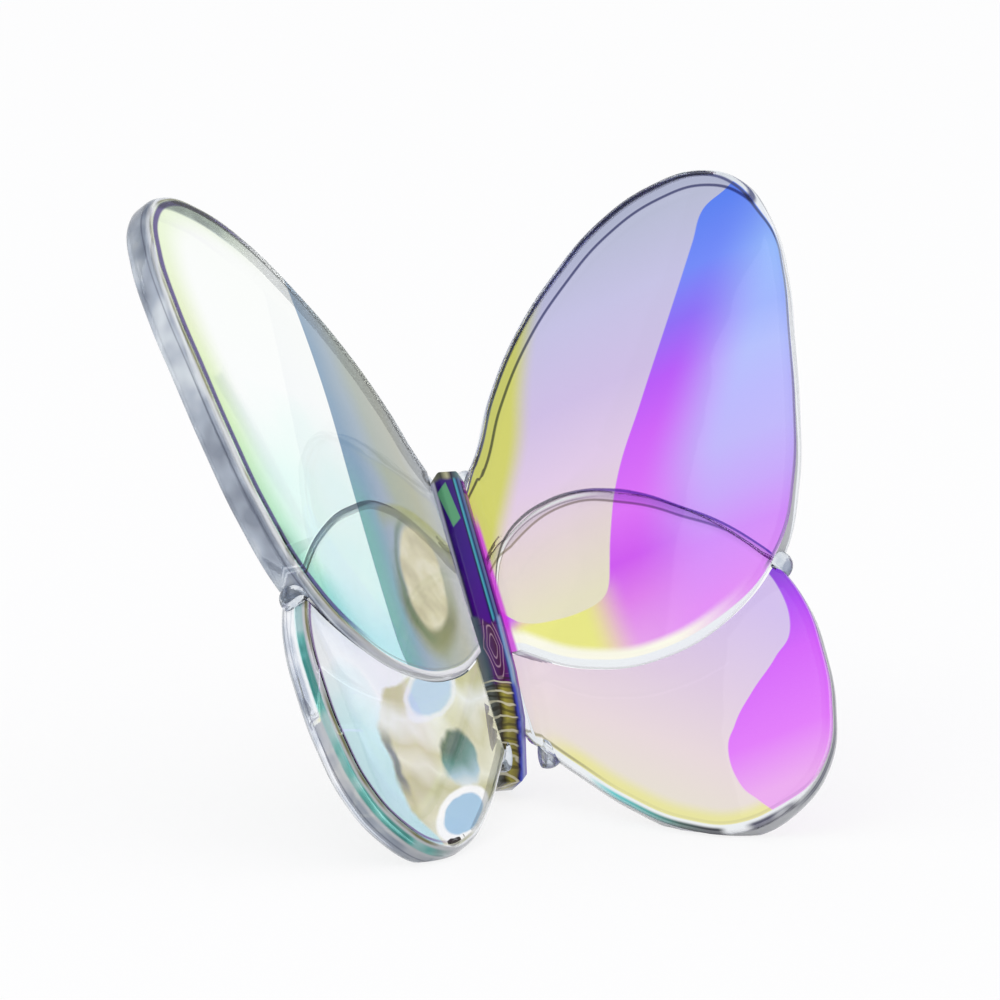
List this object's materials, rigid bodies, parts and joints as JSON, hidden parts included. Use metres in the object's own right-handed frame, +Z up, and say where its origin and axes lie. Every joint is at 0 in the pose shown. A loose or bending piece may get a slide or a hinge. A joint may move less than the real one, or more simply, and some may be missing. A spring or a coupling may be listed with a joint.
{
  "type": "butterfly ornament",
  "caption": "Free-standing coated crystal butterfly with four crowned wing plates on a slim faceted body, resting on its hindwings and the foot under its tail.",
  "frame": {"origin": "centre of the bounding box's bottom, on the table", "axes": "+Z up, +X to the ornament's right-hand wings as seen from the front, -Y to the front, the side that the wings open to"},
  "size_m": [0.0744, 0.0584, 0.0637],
  "materials": {
    "wing_crystal": "polished clear crystal, front faces with an iridescent coating",
    "body_crystal": "polished crystal with a dark violet iridescent coating",
    "clear_crystal": "polished, uncoated"
  },
  "bodies": {
    "root": {"thorax": "body_crystal", "abdomen": "body_crystal", "forewing_right": "wing_crystal", "forewing_left": "wing_crystal", "hindwing_right": "wing_crystal", "hindwing_left": "wing_crystal", "notch_bead_right": "clear_crystal", "notch_bead_left": "clear_crystal", "head_bead_right": "clear_crystal", "head_bead_left": "clear_crystal", "tail_bead_right": "clear_crystal", "tail_bead_left": "clear_crystal"}
  },
  "joints": []
}
